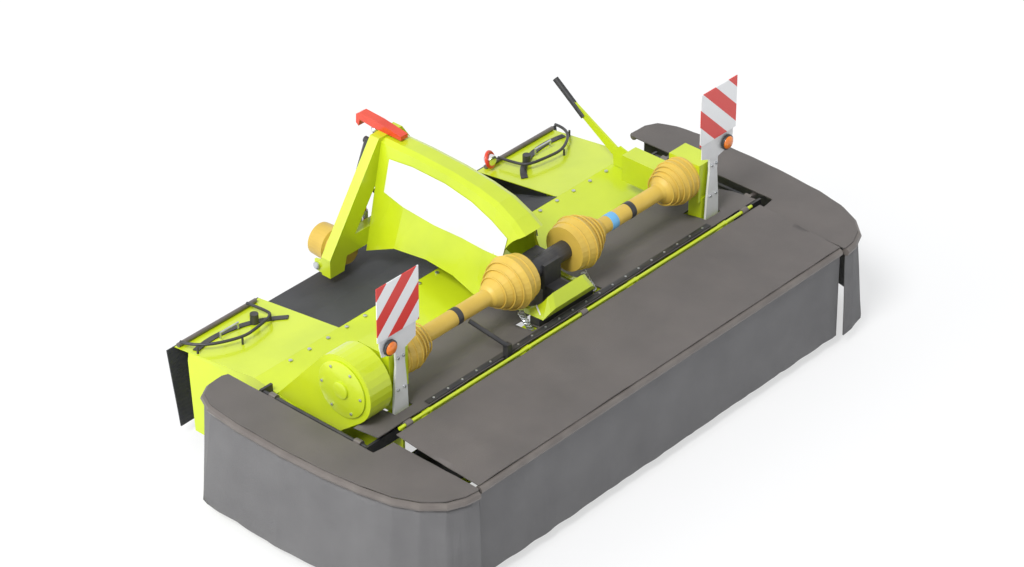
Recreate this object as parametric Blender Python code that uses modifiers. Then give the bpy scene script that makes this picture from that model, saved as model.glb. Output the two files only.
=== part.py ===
"""Front-mounted disc mower conditioner, parked with its guards folded out for work.

Metres, +Z up, ground at z = 0. The machine is driven towards -Y; +X is its left side.
"""
import bmesh
import bpy
from math import atan2, cos, hypot, pi, radians, sin

# ---------------------------------------------------------------- driving dimensions
GAP = 0.0003                 # between touching pieces
PIN_GAP = 0.0008             # round a pin that turns in its sleeve
SHEET = 0.004                # steel sheet of hood and wings
CLOTH = 0.006                # tarpaulin, curtain and mat

DISC_COUNT = 7
DISC_PITCH = 0.42
DISC_Y = -0.35
DISC_Z = 0.125               # underside of a disc
DISC_RADIUS = 0.165
BLADE_REACH = 0.225          # blade tip from the disc's axis
BLADE_WIDTH = 0.045
BLADE_THICK = 0.005

BAR_FRONT = -0.50
BAR_REAR = -0.16
BAR_BOTTOM = 0.035
BAR_TOP = 0.105
SKID_WIDTH = 0.17

FRAME_X = 1.22               # inner face of a side frame
FRAME_THICK = 0.0147
BEAM_FRONT = -0.44
BEAM_REAR = -0.30
BEAM_BOTTOM = 0.50
BEAM_TOP = 0.58

ROTOR_Y = 0.28
ROTOR_Z = 0.30
ROTOR_TUBE = 0.075
ROTOR_REACH = 0.20           # tine tip from the rotor's axis
ROTOR_STUB = 0.025
TINE_ROWS = 4
TINES_PER_ROW = 11

HOOD_WIDTH = 2.78
HOOD_FRONT_Y = 0.06
HOOD_FRONT_Z = 0.505
SEAM_Y = 0.39                # where the wings and the mat start
SEAM_Z = 0.548
WING_INNER_X = 0.81
WING_REAR_Y = 0.95
WING_REAR_Z = 0.474
PLATE_BOTTOM_Z = 0.10        # end plates
PLATE_LEAN = 0.165           # metres out per metre down
FLAP_BOTTOM_Z = 0.06

SHAFT_Y = -0.23              # cross shafts
SHAFT_Z = 0.81
TUBE_RADIUS = 0.043
BELL_RADIUS = 0.14
BELL_MOUTH_RADIUS = 0.125
ARCH_WALL = 0.008
ARCH_BORE = 0.165            # round cut in each side of the arch for the inner bell

GEARBOX_HALF = 0.11
SIDE_BOX_IN = 1.075          # inner face of a side gearbox
SIDE_BOX_OUT = 1.205

DRUM_Y = -0.195              # belt cover
DRUM_Z = 0.755
DRUM_RADIUS = 0.182
BELT_FOOT_RADIUS = 0.12
BELT_WIDTH = 0.145

HITCH_FRONT = 0.7953         # headstock plate, front and rear faces
HITCH_THICK = 0.06
HITCH_TOP_Z = 1.14
LINK_X = 0.41                # lower link points, category II
LINK_Z = 0.53
INPUT_X = -0.25
INPUT_Z = 0.515
INPUT_REAR = 1.0708

BOARD_SIZE = 0.282
BOARD_X = 1.173
BOARD_Z = 1.205
BOARD_HEIGHT = 0.30
POST_Y = -0.352
POST_THICK = 0.012
POST_X = 1.155

HINGE_Y = -0.49              # front guard hinge
HINGE_Z = 0.63
HINGE_ROD = 0.009
FRONT_TUBE_Y = -1.03
FRONT_TUBE_Z = 0.565
GUARD_TUBE = 0.021
FRONT_HALF = 1.352           # half width of the front guard
CURTAIN_BOTTOM = 0.06

PIVOT_X = 1.45               # side guard hinge
PIVOT_Z = 0.56
PIVOT_PIN = 0.011
HOOP_Z = 0.56
SLEEVE = 0.021
ARM_RADIUS = 0.013
CURTAIN_FLARE = 0.07

BOARD_PIVOT = (1.262, 0.46)   # swath board pin
STAND_X = 1.342
STAND_Y = 0.56
STAND_PIVOT_Z = 0.30

TWO_SIDES = (("left", 1), ("right", -1))

# ---------------------------------------------------------------- scene and helpers
for old in list(bpy.data.objects):
    bpy.data.objects.remove(old, do_unlink=True)

parts = bpy.data.collections.new("disc_mower_conditioner")
cutters = bpy.data.collections.new("cutters")
for group in (parts, cutters):
    bpy.context.scene.collection.children.link(group)


def paint(name, colour, roughness=0.45, metallic=0.0):
    material = bpy.data.materials.new(name)
    material.use_nodes = True
    shader = material.node_tree.nodes["Principled BSDF"]
    shader.inputs["Base Color"].default_value = (*colour, 1.0)
    shader.inputs["Roughness"].default_value = roughness
    shader.inputs["Metallic"].default_value = metallic
    return material


LIME = paint("lime_paint", (0.56, 0.67, 0.01), 0.35)
DARK_STEEL = paint("dark_steel", (0.05, 0.05, 0.055), 0.5, 0.6)
GREY_TUBE = paint("grey_tube", (0.17, 0.145, 0.13), 0.5)
FABRIC = paint("tarpaulin", (0.14, 0.13, 0.125), 0.7)
RUBBER = paint("rubber_sheet", (0.06, 0.062, 0.07), 0.7)
GUARD = paint("guard_plastic", (0.62, 0.42, 0.08), 0.4)
WHITE = paint("white_paint", (0.8, 0.8, 0.8), 0.4)
RED = paint("red_paint", (0.72, 0.05, 0.013), 0.4)
ZINC = paint("zinc", (0.55, 0.58, 0.6), 0.35, 0.9)
HOSE = paint("hose_rubber", (0.02, 0.02, 0.02), 0.55)


def link(thing, group=parts):
    for owner in list(thing.users_collection):
        owner.objects.unlink(thing)
    group.objects.link(thing)


def named(thing, name, material):
    thing.name = name
    thing.data.name = name
    thing.data.materials.clear()
    thing.data.materials.append(material)
    link(thing)
    return thing


def freeze(thing):
    """Swap an object's mesh or curve for its evaluated, welded mesh."""
    bpy.context.view_layer.update()
    graph = bpy.context.evaluated_depsgraph_get()
    mesh = bpy.data.meshes.new_from_object(thing.evaluated_get(graph))
    welded = bmesh.new()
    welded.from_mesh(mesh)
    bmesh.ops.remove_doubles(welded, verts=welded.verts, dist=0.00001)
    bmesh.ops.recalc_face_normals(welded, faces=welded.faces)
    welded.to_mesh(mesh)
    welded.free()
    solid = bpy.data.objects.new(thing.name, mesh)
    solid.matrix_world = thing.matrix_world.copy()
    bpy.context.scene.collection.objects.link(solid)
    bpy.data.objects.remove(thing, do_unlink=True)
    return solid


def box(low, high):
    centre = [(a + b) / 2 for a, b in zip(low, high)]
    bpy.ops.mesh.primitive_cube_add(size=1.0, location=centre)
    solid = bpy.context.object
    solid.scale = [b - a for a, b in zip(low, high)]
    bpy.ops.object.transform_apply(location=False, rotation=False, scale=True)
    return solid


PLANE_TURN = {"YZ": (pi / 2, 0, pi / 2), "XZ": (pi / 2, 0, 0), "XY": (0, 0, 0)}


def plate(outlines, plane, at, thickness):
    """A flat outline, with holes as further outlines, given its thickness about 'at'."""
    curve = bpy.data.curves.new("plate", "CURVE")
    curve.dimensions = "2D"
    curve.fill_mode = "BOTH"
    curve.extrude = thickness / 2
    for outline in outlines:
        spline = curve.splines.new("POLY")
        spline.points.add(len(outline) - 1)
        for point, (u, v) in zip(spline.points, outline):
            point.co = (u, v, 0.0, 1.0)
        spline.use_cyclic_u = True
    flat = bpy.data.objects.new("plate", curve)
    flat.rotation_euler = PLANE_TURN[plane]
    flat.location = {"YZ": (at, 0, 0), "XZ": (0, at, 0), "XY": (0, 0, at)}[plane]
    bpy.context.scene.collection.objects.link(flat)
    return freeze(flat)


def tube(route, radius, closed=False, sides=2):
    curve = bpy.data.curves.new("tube", "CURVE")
    curve.dimensions = "3D"
    curve.bevel_depth = radius
    curve.bevel_resolution = sides
    curve.use_fill_caps = not closed
    spline = curve.splines.new("POLY")
    spline.points.add(len(route) - 1)
    for point, place in zip(spline.points, route):
        point.co = (*place, 1.0)
    spline.use_cyclic_u = closed
    pipe = bpy.data.objects.new("tube", curve)
    bpy.context.scene.collection.objects.link(pipe)
    return freeze(pipe)


def turned(profile, axis, centre, steps=24):
    """Spin (distance along the axis, radius) pairs about the X, Y or Z line through 'centre'."""
    mesh = bpy.data.meshes.new("turned")
    points = [(radius, 0.0, along) for along, radius in profile]
    closed = profile[0][1] > 0 or profile[-1][1] > 0
    edges = [(i, i + 1) for i in range(len(points) - 1)]
    if closed:
        edges.append((len(points) - 1, 0))
    mesh.from_pydata(points, edges, [])
    solid = bpy.data.objects.new("turned", mesh)
    bpy.context.scene.collection.objects.link(solid)
    screw = solid.modifiers.new("turn", "SCREW")
    screw.steps = steps
    screw.render_steps = steps
    screw.use_merge_vertices = True
    screw.merge_threshold = 0.00001
    solid.rotation_euler = {"X": (0, pi / 2, 0), "Y": (-pi / 2, 0, 0), "Z": (0, 0, 0)}[axis]
    solid.location = centre
    return freeze(solid)


def rod(start, end, axis, centre, radius, steps=24):
    return turned([(end, 0.0), (end, radius), (start, radius), (start, 0.0)], axis, centre, steps)


def ring(start, end, axis, centre, outer, inner, steps=24):
    return turned([(end, inner), (end, outer), (start, outer), (start, inner)], axis, centre, steps)


def combine(solid, others, operation):
    for other in others:
        modifier = solid.modifiers.new(operation.lower(), "BOOLEAN")
        modifier.operation = operation
        modifier.solver = "EXACT"
        modifier.object = other
        other.hide_render = True
        other.display_type = "WIRE"
        link(other, cutters)
    return solid


def joined(solid, *others):
    return combine(solid, others, "UNION")


def cut(solid, *others):
    return combine(solid, others, "DIFFERENCE")


def arc(centre, radius, start, end, steps):
    """Points on a circle, the angles in degrees."""
    places = []
    for i in range(steps + 1):
        angle = radians(start + (end - start) * i / steps)
        places.append((centre[0] + radius * cos(angle), centre[1] + radius * sin(angle)))
    return places


def smooth_route(points, per_span):
    """Points on a Catmull-Rom curve through the given ones."""
    padded = [points[0], *points, points[-1]]
    route = []
    for i in range(1, len(padded) - 2):
        before, here, there, after = padded[i - 1:i + 3]
        for step in range(per_span):
            t = step / per_span
            route.append(tuple(
                0.5 * (2 * b + (c - a) * t + (2 * a - 5 * b + 4 * c - d) * t ** 2
                       + (3 * b - a - 3 * c + d) * t ** 3)
                for a, b, c, d in zip(before, here, there, after)))
    route.append(points[-1])
    return route


def sheet_profile(line, thickness):
    """Close an open (y, z) line, its underside, into the outline of a sheet."""
    return list(line) + [(y, z + thickness) for y, z in reversed(line)]


def loft(rings):
    """Skin like rings of points with quads and close both ends."""
    skin = bmesh.new()
    rows = [[skin.verts.new(place) for place in points] for points in rings]
    count = len(rows[0])
    for first, second in zip(rows, rows[1:]):
        for i in range(count):
            j = (i + 1) % count
            skin.faces.new((first[i], first[j], second[j], second[i]))
    skin.faces.new(rows[0])
    skin.faces.new(rows[-1])
    bmesh.ops.recalc_face_normals(skin, faces=skin.faces)
    mesh = bpy.data.meshes.new("loft")
    skin.to_mesh(mesh)
    skin.free()
    solid = bpy.data.objects.new("loft", mesh)
    bpy.context.scene.collection.objects.link(solid)
    return solid


# ---------------------------------------------------------------- cutter bar and discs
def disc_x(number):
    return (number - (DISC_COUNT - 1) / 2) * DISC_PITCH


def build_cutter_bar():
    half = disc_x(DISC_COUNT - 1) + 0.21
    nose = 0.035
    outline = [(BAR_FRONT, BAR_BOTTOM + nose), (BAR_FRONT + nose, BAR_BOTTOM),
               (BAR_REAR, BAR_BOTTOM), (BAR_REAR, BAR_TOP), (BAR_FRONT + nose, BAR_TOP)]
    bar = plate([outline], "YZ", 0.0, 2 * half)
    skid = [(BAR_FRONT - 0.01, BAR_BOTTOM + nose), (BAR_FRONT + 0.06, 0.0), (BAR_REAR - 0.04, 0.0),
            (BAR_REAR - 0.01, BAR_BOTTOM + 0.01), (BAR_FRONT + 0.05, BAR_BOTTOM + 0.01)]
    for number in range(DISC_COUNT):
        joined(bar, plate([skid], "YZ", disc_x(number), SKID_WIDTH))
        joined(bar, rod(BAR_TOP - 0.01, DISC_Z - GAP, "Z", (disc_x(number), DISC_Y, 0), 0.06, 16))
    named(bar, "cutter_bar", LIME)


def build_discs():
    for number in range(DISC_COUNT):
        outer = number in (0, DISC_COUNT - 1)
        place = (disc_x(number), DISC_Y, DISC_Z)
        dish = [(0.0, 0.0), (0.0, DISC_RADIUS), (0.012, DISC_RADIUS), (0.035, 0.075), (0.05, 0.06)]
        dish += [(0.16, 0.055), (0.17, 0.075)] if outer else []
        dish.append((dish[-1][0], 0.0))
        disc = turned(dish[::-1], "Z", place, 24)
        blade = box((-BLADE_REACH, -BLADE_WIDTH / 2, 0.004),
                    (BLADE_REACH, BLADE_WIDTH / 2, 0.004 + BLADE_THICK))
        blade.rotation_euler = (0, 0, pi / 2 * (number % 2))
        blade.location = (place[0], place[1], DISC_Z + blade.location.z)
        joined(disc, blade)
        named(disc, f"mowing_disc_{number + 1}", DARK_STEEL)


# ---------------------------------------------------------------- conditioner and frame
def build_rotor():
    inner = FRAME_X - 0.01
    stub_end = FRAME_X + FRAME_THICK - 0.001
    centre = (0, ROTOR_Y, ROTOR_Z)
    profile = [(stub_end, 0.0), (stub_end, ROTOR_STUB), (inner, ROTOR_STUB), (inner, ROTOR_TUBE),
               (-inner, ROTOR_TUBE), (-inner, ROTOR_STUB), (-stub_end, ROTOR_STUB), (-stub_end, 0.0)]
    rotor = turned(profile, "X", centre, 16)
    spacing = (2 * inner - 0.16) / (TINES_PER_ROW - 0.5)
    for row in range(TINE_ROWS):
        angle = 2 * pi * row / TINE_ROWS
        shift = 0.5 * spacing * (row % 2)
        comb = []
        for i in range(TINES_PER_ROW):
            x = -inner + 0.05 + i * spacing + shift
            comb += [(x, 0.09), (x, ROTOR_REACH), (x + 0.06, ROTOR_REACH), (x + 0.06, 0.09)]
        outline = [(-inner + 0.02, 0.06), (-inner + 0.02, 0.09)]
        outline += comb + [(inner - 0.02, 0.09), (inner - 0.02, 0.06)]
        blade = plate([outline], "XZ", 0.0, 0.010)
        blade.rotation_euler = (pi / 2 - angle, 0, 0)
        blade.location = centre
        joined(rotor, blade)
    named(rotor, "conditioner_rotor", DARK_STEEL)


def hood_z(y):
    """Height of the hood's underside."""
    start = HOOD_FRONT_Y + 0.004
    return HOOD_FRONT_Z + (SEAM_Z - HOOD_FRONT_Z) * (y - start) / (SEAM_Y - start)


def build_side_frames():
    bore = ROTOR_STUB + PIN_GAP
    foot = BAR_REAR + GAP
    outline = [(foot, 0.04), (0.12, 0.04), (0.40, 0.13), (0.44, 0.30), (SEAM_Y - 0.005, hood_z(SEAM_Y - 0.005) - GAP),
               (HOOD_FRONT_Y + 0.015, hood_z(HOOD_FRONT_Y + 0.015) - GAP), (HOOD_FRONT_Y + 0.015, 0.47),
               (HOOD_FRONT_Y - 0.03, 0.47), (HOOD_FRONT_Y - 0.03, BEAM_BOTTOM - GAP), (BEAM_FRONT, BEAM_BOTTOM - GAP),
               (BEAM_FRONT, 0.42), (-0.11, 0.32), (-0.11, BAR_TOP), (foot, BAR_TOP)]
    hole = arc((ROTOR_Y, ROTOR_Z), bore, 0, 345, 23)
    for side, sign in TWO_SIDES:
        at = sign * (FRAME_X + FRAME_THICK / 2)
        named(plate([outline, hole], "YZ", at, FRAME_THICK), f"side_frame_{side}", LIME)


def build_main_beam():
    half = FRAME_X + FRAME_THICK
    beam = box((-half, BEAM_FRONT, BEAM_BOTTOM), (half, BEAM_REAR, BEAM_TOP))
    centre = (0, HINGE_Y, HINGE_Z)
    joined(beam, rod(-1.31, 1.31, "X", centre, HINGE_ROD, 16))
    for x in (-1.10, -0.40, 0.40, 1.10):
        lug = [(BEAM_FRONT + 0.02, BEAM_TOP - 0.05), (HINGE_Y - 0.012, HINGE_Z - 0.03),
               (HINGE_Y - 0.012, HINGE_Z + 0.006), (HINGE_Y + 0.012, HINGE_Z + 0.006),
               (BEAM_FRONT + 0.02, BEAM_TOP - 0.005)]
        joined(beam, plate([lug], "YZ", x, 0.012))
    named(beam, "main_beam", LIME)


# ---------------------------------------------------------------- hood, wings, plates
def belt_outline(extra):
    """Outline in (y, z) of the belt cover: two round ends and their outer tangents."""
    foot = (ROTOR_Y, ROTOR_Z)
    drum = (DRUM_Y, DRUM_Z)
    run = hypot(foot[0] - drum[0], foot[1] - drum[1])
    heading = atan2(foot[1] - drum[1], foot[0] - drum[0]) * 180 / pi
    lean = atan2(DRUM_RADIUS - BELT_FOOT_RADIUS, run) * 180 / pi
    top = arc(drum, DRUM_RADIUS + extra, heading + 90 - lean, heading + 270 + lean, 18)
    low = arc(foot, BELT_FOOT_RADIUS + extra, heading - 90 + lean, heading + 90 - lean, 10)
    return top + low


def belt_block(extra, from_x, to_x):
    return plate([belt_outline(extra)], "YZ", (from_x + to_x) / 2, abs(to_x - from_x))


def build_belt_cover():
    inner = FRAME_X + FRAME_THICK + GAP
    named(belt_block(0.0, -inner, -inner - BELT_WIDTH), "belt_cover", LIME)


def build_hood():
    line = [(HOOD_FRONT_Y, HOOD_FRONT_Z - 0.03), (HOOD_FRONT_Y + 0.004, HOOD_FRONT_Z),
            (SEAM_Y, SEAM_Z)]
    outline = [line[0], (HOOD_FRONT_Y - SHEET, HOOD_FRONT_Z - 0.03),
               (HOOD_FRONT_Y - SHEET, HOOD_FRONT_Z + SHEET), (SEAM_Y, SEAM_Z + SHEET), line[2], line[1]]
    hood = plate([outline], "YZ", 0.0, HOOD_WIDTH)
    cut(hood, belt_block(0.001, -FRAME_X - 0.005, -HOOD_WIDTH / 2 - 0.05))
    named(hood, "hood", LIME)


def wing_z(y):
    """Height of the wings' underside."""
    return SEAM_Z + (WING_REAR_Z - SEAM_Z) * (y - SEAM_Y) / (WING_REAR_Y - SEAM_Y)


def build_wings():
    start = SEAM_Y + GAP
    outline = sheet_profile([(start, wing_z(start)), (WING_REAR_Y, WING_REAR_Z)], SHEET)
    width = HOOD_WIDTH / 2 - WING_INNER_X
    for side, sign in TWO_SIDES:
        wing = plate([outline], "YZ", sign * (WING_INNER_X + width / 2), width)
        named(wing, f"rear_wing_{side}", LIME)
        hang = [(WING_REAR_Y + 0.001, WING_REAR_Z + SHEET), (WING_REAR_Y - 0.07, FLAP_BOTTOM_Z)]
        shape = hang + [(y + CLOTH, z) for y, z in reversed(hang)]
        reach = HOOD_WIDTH / 2 + 0.05 - WING_INNER_X
        flap = plate([shape], "YZ", sign * (WING_INNER_X + reach / 2), reach)
        named(flap, f"rear_flap_{side}", RUBBER)


def build_mat():
    start = SEAM_Y + GAP
    line = [(start, wing_z(start)), (0.52, 0.500), (0.68, 0.445), (0.83, 0.426), (WING_REAR_Y, 0.420)]
    mat = plate([sheet_profile(line, CLOTH)], "YZ", 0.0, 2 * (WING_INNER_X - GAP))
    named(mat, "centre_mat", RUBBER)


def plate_face(z):
    """Outer face (x) of the leaning end plates at height z."""
    return HOOD_WIDTH / 2 - 0.002 + (HOOD_FRONT_Z - z) * PLATE_LEAN


def build_end_plates():
    thick = 0.005
    top = HOOD_FRONT_Z - 0.002
    outline = [(-0.10, PLATE_BOTTOM_Z + 0.05), (-0.05, PLATE_BOTTOM_Z), (0.76, PLATE_BOTTOM_Z),
               (0.85, WING_REAR_Z - 0.03), (0.85, wing_z(0.85) - GAP), (SEAM_Y, wing_z(SEAM_Y) - 0.001),
               (HOOD_FRONT_Y + 0.01, top), (HOOD_FRONT_Y + 0.01, 0.47), (-0.10, 0.46)]
    for side, sign in TWO_SIDES:
        panel = plate([outline], "YZ", sign * (HOOD_WIDTH / 2 - 0.002 - thick / 2), thick)
        for corner in panel.data.vertices:
            corner.co.z += sign * max(0.0, HOOD_FRONT_Z - corner.co.y) * PLATE_LEAN
        named(panel, f"end_plate_{side}", LIME)


# ---------------------------------------------------------------- arch, drive line
ARCH_STATIONS = (
    # top y, top z, top half width, low y, low z
    (0.795, 1.130, 0.070, 0.795, 0.530),
    (0.56, 1.130, 0.070, 0.60, 0.625),
    (0.34, 1.120, 0.070, 0.38, 0.655),
    (0.16, 1.100, 0.072, 0.20, 0.640),
    (0.02, 1.070, 0.075, 0.06, 0.590),
    (-0.09, 1.015, 0.080, -0.06, 0.610),
    (-0.19, 0.940, 0.088, -0.15, 0.625),
    (-0.28, 0.865, 0.100, -0.24, 0.630),
    (-0.36, 0.785, 0.125, -0.32, 0.635),
    (-0.425, 0.690, 0.160, -0.40, 0.640),
)
ARCH_LOW_HALF = 0.195


def arch_ring(station, inset, drop):
    """One cross-section: a rounded crown above two flaring walls."""
    top_y, top_z, half, low_y, low_z = station
    length = hypot(top_y - low_y, top_z - low_z)
    down = ((low_y - top_y) / length, (low_z - top_z) / length)

    def place(x, depth):
        return (x, top_y + down[0] * depth, top_z + down[1] * depth)

    shoulder = 0.03
    deep = length + drop
    right = [(half - shoulder - inset * 0.4, inset), (half - inset * 0.8, inset + shoulder * 0.5),
             (ARCH_LOW_HALF - inset, deep)]
    return [place(x, d) for x, d in right] + [place(-x, d) for x, d in reversed(right)]


def build_arch():
    outer = loft([arch_ring(station, 0.0, 0.0) for station in ARCH_STATIONS])
    inner = []
    for i, (top_y, top_z, half, low_y, low_z) in enumerate(ARCH_STATIONS):
        shift = 0.05 if i == 0 else (0.014 if i == len(ARCH_STATIONS) - 1 else 0.0)
        inner.append(arch_ring((top_y + shift, top_z, half, low_y + shift, low_z), ARCH_WALL, 0.06))
    cut(outer, loft(inner))
    centre = (0, SHAFT_Y, SHAFT_Z)
    cut(outer, rod(-0.5, 0.5, "X", centre, ARCH_BORE, 32))
    named(outer, "arch", LIME)


def build_main_gearbox():
    low = SHAFT_Z - GEARBOX_HALF
    housing = box((-0.06, SHAFT_Y - 0.06, low), (0.06, SHAFT_Y + 0.10, SHAFT_Z + 0.03))
    joined(housing, box((-0.05, BEAM_REAR - 0.06, BEAM_TOP + GAP), (0.05, BEAM_REAR + 0.03, low + 0.02)))
    joined(housing, box((-0.20, BEAM_REAR - 0.08, BEAM_TOP + GAP), (0.20, BEAM_REAR - 0.02, 0.6345)))
    reach = 0.155
    joined(housing, rod(-reach, reach, "X", (0, SHAFT_Y, SHAFT_Z), 0.05, 20))
    named(housing, "main_gearbox", DARK_STEEL)


def build_shaft_guards():
    start = 0.155 + GAP
    end = SIDE_BOX_IN - GAP
    profile = [(end, 0.0), (end, BELL_MOUTH_RADIUS * 0.88), (end - 0.09, BELL_RADIUS * 0.82),
               (end - 0.175, 0.075), (end - 0.195, 0.052), (end - 0.215, TUBE_RADIUS),
               (0.42, TUBE_RADIUS), (0.405, 0.058), (0.37, 0.075), (0.25, BELL_RADIUS),
               (0.19, BELL_MOUTH_RADIUS), (start, BELL_MOUTH_RADIUS * 0.96), (start, 0.0)]
    for side, sign in TWO_SIDES:
        shape = profile if sign > 0 else [(-along, radius) for along, radius in reversed(profile)]
        guard = turned(shape, "X", (0, SHAFT_Y, SHAFT_Z), 28)
        named(guard, f"shaft_guard_{side}", GUARD)


def build_side_gearboxes():
    for side, sign in TWO_SIDES:
        near, far = sorted((sign * SIDE_BOX_IN, sign * SIDE_BOX_OUT))
        body = box((near, SHAFT_Y - 0.10, SHAFT_Z - 0.12), (far, SHAFT_Y + 0.10, SHAFT_Z + 0.10))
        joined(body, box((near + 0.02, SHAFT_Y - 0.105, BEAM_TOP + GAP),
                         (far - 0.02, SHAFT_Y - 0.02, SHAFT_Z - 0.10)))
        if side == "left":
            joined(body, box((near + 0.01, SHAFT_Y + 0.08, 0.61), (far - 0.01, SHAFT_Y + 0.42, 0.76)))
        named(body, f"side_gearbox_{side}", LIME)


# ---------------------------------------------------------------- headstock
def build_headstock():
    middle = HITCH_FRONT + HITCH_THICK / 2
    foot_in = LINK_X - 0.055
    foot_out = LINK_X + 0.045
    outer = [(-0.085, HITCH_TOP_Z), (-foot_out, LINK_Z + 0.06), (-foot_out, LINK_Z - 0.045),
             (-foot_in, LINK_Z - 0.045), (-foot_in + 0.02, LINK_Z + 0.035), (foot_in - 0.02, LINK_Z + 0.035),
             (foot_in, LINK_Z - 0.045), (foot_out, LINK_Z - 0.045), (foot_out, LINK_Z + 0.06),
             (0.085, HITCH_TOP_Z)]
    hole = [(-0.035, HITCH_TOP_Z - 0.14), (-0.27, 0.665), (0.27, 0.665), (0.035, HITCH_TOP_Z - 0.14)]
    frame = plate([outer, hole], "XZ", middle, HITCH_THICK)
    for sign in (-1, 1):
        joined(frame, rod(sign * LINK_X - 0.05, sign * LINK_X + 0.05, "X",
                          (0, HITCH_FRONT + HITCH_THICK + 0.03, LINK_Z), 0.018, 20))
        for side in (-1, 1):
            at = sign * LINK_X + side * 0.038
            cheek = [(HITCH_FRONT + 0.03, LINK_Z - 0.04), (HITCH_FRONT + 0.11, LINK_Z - 0.03),
                     (HITCH_FRONT + 0.11, LINK_Z + 0.03), (HITCH_FRONT + 0.03, LINK_Z + 0.045)]
            joined(frame, plate([cheek], "YZ", at, 0.012))
    named(frame, "headstock", LIME)


def build_top_hook():
    base = HITCH_TOP_Z + GAP
    outline = [(0.70, base), (0.70, base + 0.022), (0.86, base + 0.045), (0.985, base + 0.052),
               (1.01, base + 0.035), (1.012, base - 0.015), (0.995, base - 0.03), (0.985, base + 0.01),
               (0.90, base)]
    named(plate([outline], "YZ", 0.0, 0.05), "top_hook", RED)


def build_lift_cylinder():
    rear = HITCH_FRONT + HITCH_THICK
    top = (-0.06, rear + 0.032, 1.08)
    low = (-0.235, rear + 0.032, 0.675)
    mid = tuple(a + (b - a) * 0.78 for a, b in zip(top, low))
    barrel = tube([top, mid], 0.026, sides=3)
    joined(barrel, tube([top, low], 0.014, sides=2))
    for place in (top, low):
        joined(barrel, rod(rear + GAP, rear + 0.06, "Y", (place[0], 0, place[2]), 0.018, 16))
    named(barrel, "lift_cylinder", DARK_STEEL)


def build_coupling_rail():
    rear = HITCH_FRONT + HITCH_THICK + GAP
    block = box((-0.165, rear, 0.575), (-0.085, rear + 0.05, 0.635))
    joined(block, rod(-0.165, 0.10, "X", (0, rear + 0.018, 0.604), 0.017, 16))
    named(block, "coupling_rail", ZINC)


def build_hoses():
    rear = HITCH_FRONT + HITCH_THICK
    rail_top = 0.635 + 0.002
    routes = {
        "hose_long": [(-0.10, rear + 0.035, rail_top), (-0.10, rear + 0.04, 0.68),
                      (-0.045, rear + 0.06, 0.80), (0.02, rear + 0.06, 0.95), (0.03, rear + 0.04, 1.05),
                      (0.03, rear + 0.011, 1.10)],
        "hose_loop": [(-0.145, rear + 0.035, rail_top - 0.0004), (-0.145, rear + 0.04, 0.68),
                      (-0.17, rear + 0.085, 0.76), (-0.10, rear + 0.09, 0.84), (-0.02, rear + 0.085, 0.78),
                      (0.02, rear + 0.055, 0.71), (0.055, rear + 0.025, 0.665),
                      (0.06, rear + 0.0203, 0.6235)],
    }
    for name, points in routes.items():
        named(tube(smooth_route(points, 5), 0.0095, sides=2), name, HOSE)


def build_input_guard():
    front = HITCH_FRONT + HITCH_THICK + GAP
    profile = [(INPUT_REAR, 0.082), (INPUT_REAR, 0.088), (INPUT_REAR - 0.10, 0.095),
               (INPUT_REAR - 0.11, 0.080), (front + 0.02, 0.075), (front, 0.060), (front, 0.0),
               (front + 0.015, 0.0), (front + 0.015, 0.055), (INPUT_REAR - 0.10, 0.074)]
    shape = [(along, radius) for along, radius in profile]
    outer = [p for p in shape[:6]]
    inner = [(INPUT_REAR - 0.10, 0.074), (front + 0.03, 0.055), (front + 0.03, 0.0)]
    wall = turned([(front, 0.0)] + outer[::-1] + inner, "Y", (INPUT_X, 0, INPUT_Z), 28)
    named(wall, "input_guard", GUARD)


# ---------------------------------------------------------------- boards, levers, springs
def build_warning_boards():
    post = [(-0.05, BEAM_TOP + GAP), (0.05, BEAM_TOP + GAP), (0.045, 0.70), (0.03, 0.86), (0.035, 1.00),
            (-0.035, 1.00), (-0.03, 0.86), (-0.045, 0.70)]
    back = [(-0.12, 0.97), (-0.02, 0.93), (0.11, 0.96), (0.125, 1.02), (0.125, 1.33), (-0.125, 1.33)]
    for side, sign in TWO_SIDES:
        shape = [(sign * (POST_X + u), v) for u, v in post]
        stand = plate([shape], "XZ", POST_Y, POST_THICK)
        shape = [(sign * (BOARD_X + u), v) for u, v in back]
        joined(stand, plate([shape], "XZ", POST_Y - POST_THICK / 2 - 0.001, 0.004))
        named(stand, f"board_post_{side}", WHITE)
        front = POST_Y - POST_THICK / 2 - 0.003 - GAP
        low, high = sorted((sign * (BOARD_X - BOARD_SIZE / 2), sign * (BOARD_X + BOARD_SIZE / 2)))
        board = box((low, front - 0.004, BOARD_Z - BOARD_HEIGHT / 2),
                    (high, front, BOARD_Z + BOARD_HEIGHT / 2))
        named(board, f"warning_board_{side}", RED)


def build_quadrants():
    slope = atan2(WING_REAR_Z - SEAM_Z, WING_REAR_Y - SEAM_Y)
    centre = (1.23, 0.40)
    knob_y = 0.779
    for side, sign in TWO_SIDES:
        rim = arc((0, 0), 0.468, 73, 142, 12) + arc((0, 0), 0.432, 142, 73, 12)
        shape = [(sign * u, v) for u, v in rim]
        arm = plate([shape], "XY", 0.0, 0.006)
        arm.rotation_euler = (slope, 0, 0)
        lift = SHEET + 0.003 + 3 * GAP
        arm.location = (sign * centre[0], centre[1], wing_z(centre[1]) + lift / cos(slope))
        foot = wing_z(knob_y) + 0.0075
        joined(arm, rod(foot, foot + 0.055, "Z", (sign * 1.008, knob_y, 0), 0.022, 16))
        named(arm, f"swath_quadrant_{side}", DARK_STEEL)


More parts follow.
